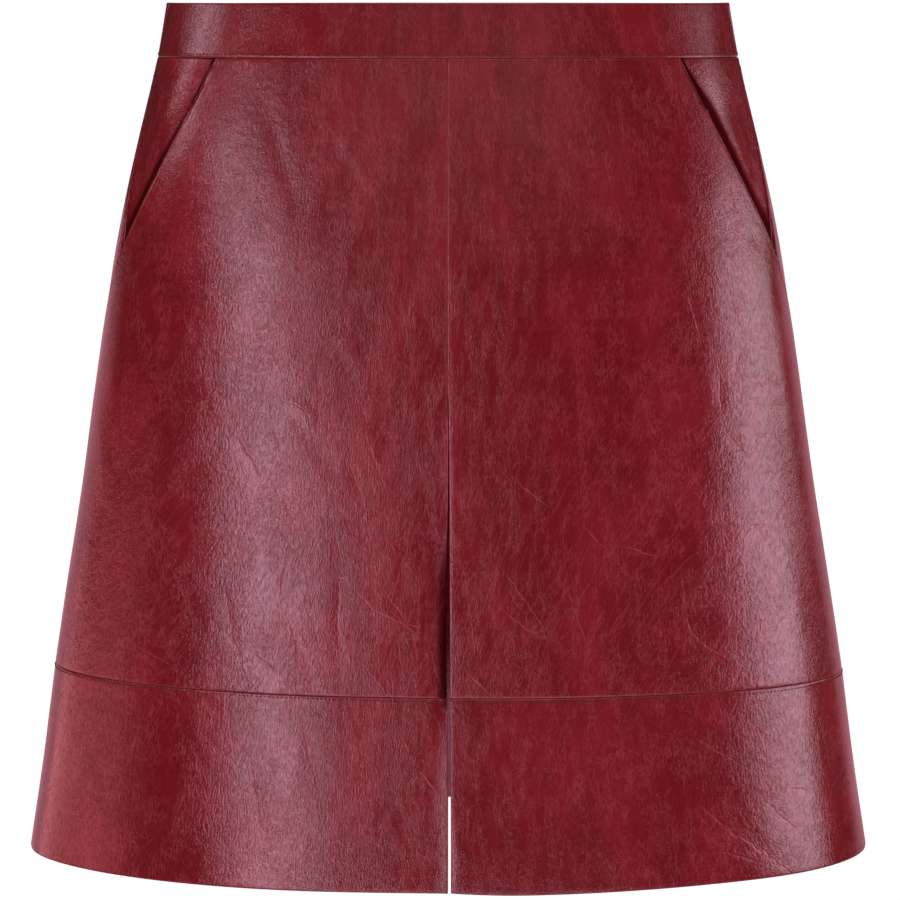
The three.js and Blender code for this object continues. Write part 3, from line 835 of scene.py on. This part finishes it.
def thread_material():
    m = Nodes("burgundy_thread")
    twist = m.noise(m.place, 1800, detail=1.0, dimensions="3D")
    # The thread is dark, partly its own colour and partly painted shade of the needle holes along the rows
    m.put(m.shader.inputs["Base Color"], m.mixed(twist, (0.06, 0.004, 0.007), (0.16, 0.012, 0.018)))
    m.shader.inputs["Roughness"].default_value = 0.5
    m.put(m.shader.inputs["Normal"], m.bump(twist, 0.1 * MILLIMETRE))
    return m.material


thread = thread_material()


def stitched_line(name, pieces, height, turns):
    """Stitches sunk half into the cloth, each where a level line from outside meets it.

    The turns are where the row starts and ends, in degrees round from the front. The height is a
    function that gives z at a turn.
    """
    bm = bmesh.new()
    trees = [BVHTree.FromObject(piece, bpy.context.evaluated_depsgraph_get()) for piece in pieces]
    size = Matrix.Diagonal((STITCH_LENGTH / 2, STITCH_WIDTH / 2, STITCH_WIDTH / 2, 1))
    last = None
    for turn in np.arange(math.radians(turns[0]), math.radians(turns[1]), SEARCH_STEP):
        towards = Vector((-math.sin(turn), math.cos(turn), 0))
        start = Vector((0, 0, height(turn))) - towards * SEARCHED_FROM
        hits = [hit for hit in (tree.ray_cast(start, towards) for tree in trees) if hit[0]]
        if not hits:
            continue
        spot, normal = min(hits, key=lambda hit: hit[3])[:2]
        if last is None:
            last = spot
        if (spot - last).length < STITCH_PITCH:
            continue
        along = (spot - last).normalized()
        across = normal.cross(along).normalized()
        turned = Matrix((along, across, along.cross(across))).transposed().to_4x4()
        placed = Matrix.Translation(spot) @ turned @ size
        bmesh.ops.create_icosphere(bm, subdivisions=1, radius=1, matrix=placed)
        last = spot
    row = new_object(name, bm, thread)
    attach(row, "skirt")


stitched_line(
    "hem_band_stitches", hem_bands,
    lambda turn: BAND_SEAM - BAND_TILT * math.sin(turn) - STITCHES_OFF_SEAM, (-180, 180),
)

# Waistband: a doubled straight band, one piece in front and two behind that meet at the zip,
# turned over at the top and topstitched close above the seam.
WAISTBAND = 2.4 * MILLIMETRE
waistbands = [
    sewn_piece("waistband_front_leather", "waistband_front", WAISTBAND)
]
for side in ("left", "right"):
    waistbands.append(sewn_piece(
        f"waistband_back_{side}_leather", f"waistband_back_{side}", WAISTBAND,
    ))
stitched_line("waistband_stitches", waistbands, lambda turn: WAIST_SEAM + STITCHES_OFF_SEAM, (-179, 179))

# Zip: a concealed zip behind the centre-back seam, woven tapes with a coil of fine teeth between
# them, and a metal slider and pull tab that stand outside the waistband.
TAPE = 1.0 * MILLIMETRE
zip_tape = dull_material(
    "zip_tape_weave", (0.06, 0.008, 0.012), (0.11, 0.02, 0.026), fineness=1200, sunk=0.2 * MILLIMETRE
)

for side in ("left", "right"):
    tape = sewn_piece(
        f"zip_tape_{side}_cloth", f"zip_tape_{side}", TAPE,
        outside=zip_tape, inside=zip_tape, fineness=2,
    )

TOOTH_PITCH = 1.5 * MILLIMETRE
TOOTH_SIZE = Vector((1.3, 0.6, 0.5)) * MILLIMETRE
TOOTH_OFF_CENTRE = 0.9 * MILLIMETRE
COIL_INSIDE_TAPE = 0.3 * MILLIMETRE
COIL_SHORT_OF_TAPE = 3 * MILLIMETRE


def metal_material():
    m = Nodes("zip_metal")
    wear = m.noise(m.place, 700, detail=2.0, dimensions="3D")
    m.put(m.shader.inputs["Base Color"], m.mixed(wear, (0.42, 0.43, 0.45), (0.62, 0.62, 0.63)))
    m.shader.inputs["Metallic"].default_value = 1.0
    m.put(m.shader.inputs["Roughness"], m.ramp(wear, 0.3, 0.7, 0.22, 0.38))
    return m.material


zip_metal = metal_material()

# The coil follows the tape's inner edge: how deep that edge lies at each height
tape_points = np.array([v.co[:] for v in nodes["zip_tape_left"].data.vertices])
tape_points = tape_points[tape_points[:, 0] > tape_points[:, 0].max() - MILLIMETRE]
levels = np.unique(tape_points[:, 2].round(3))
insides = [tape_points[abs(tape_points[:, 2] - z) < MILLIMETRE, 1].min() for z in levels]
tooth_levels = np.arange(levels[0] + COIL_SHORT_OF_TAPE, levels[-1] - COIL_SHORT_OF_TAPE, TOOTH_PITCH / 2)
bm = bmesh.new()
for number, z in enumerate(tooth_levels):
    across = TOOTH_OFF_CENTRE if number % 2 else -TOOTH_OFF_CENTRE
    spot = Matrix.Translation((across, np.interp(z, levels, insides) - COIL_INSIDE_TAPE, z))
    size = Matrix.Diagonal((*TOOTH_SIZE, 1))
    bmesh.ops.create_uvsphere(bm, u_segments=6, v_segments=4, radius=1, matrix=spot @ size)
coil = new_object("zip_coil", bm, zip_tape)
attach(coil, "skirt")

METAL_EDGE = 0.2 * MILLIMETRE
SHARP_ANGLE = math.radians(35)
FLAT_ANGLE = math.radians(1)
METAL_WELD = 1e-6


def finished_metal(name, node, body):
    """A hard node with its sharp edges bevelled."""
    bm = bmesh.new()
    bm.from_mesh(nodes[node].data)
    bmesh.ops.remove_doubles(bm, verts=bm.verts, dist=METAL_WELD)
    bmesh.ops.dissolve_limit(bm, angle_limit=FLAT_ANGLE, verts=bm.verts, edges=bm.edges)
    sharp = [e for e in bm.edges if e.calc_face_angle(0) > SHARP_ANGLE]
    bmesh.ops.bevel(
        bm, geom=sharp, offset=METAL_EDGE, offset_type="OFFSET", segments=2, profile=0.5,
        affect="EDGES", material=-1, clamp_overlap=True,
    )
    piece = new_object(name, bm, zip_metal)
    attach(piece, body)
    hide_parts(node)


finished_metal("zip_slider_metal", "zip_slider", "skirt")
finished_metal("zip_pull_metal", "zip_pull", "pull_tab")
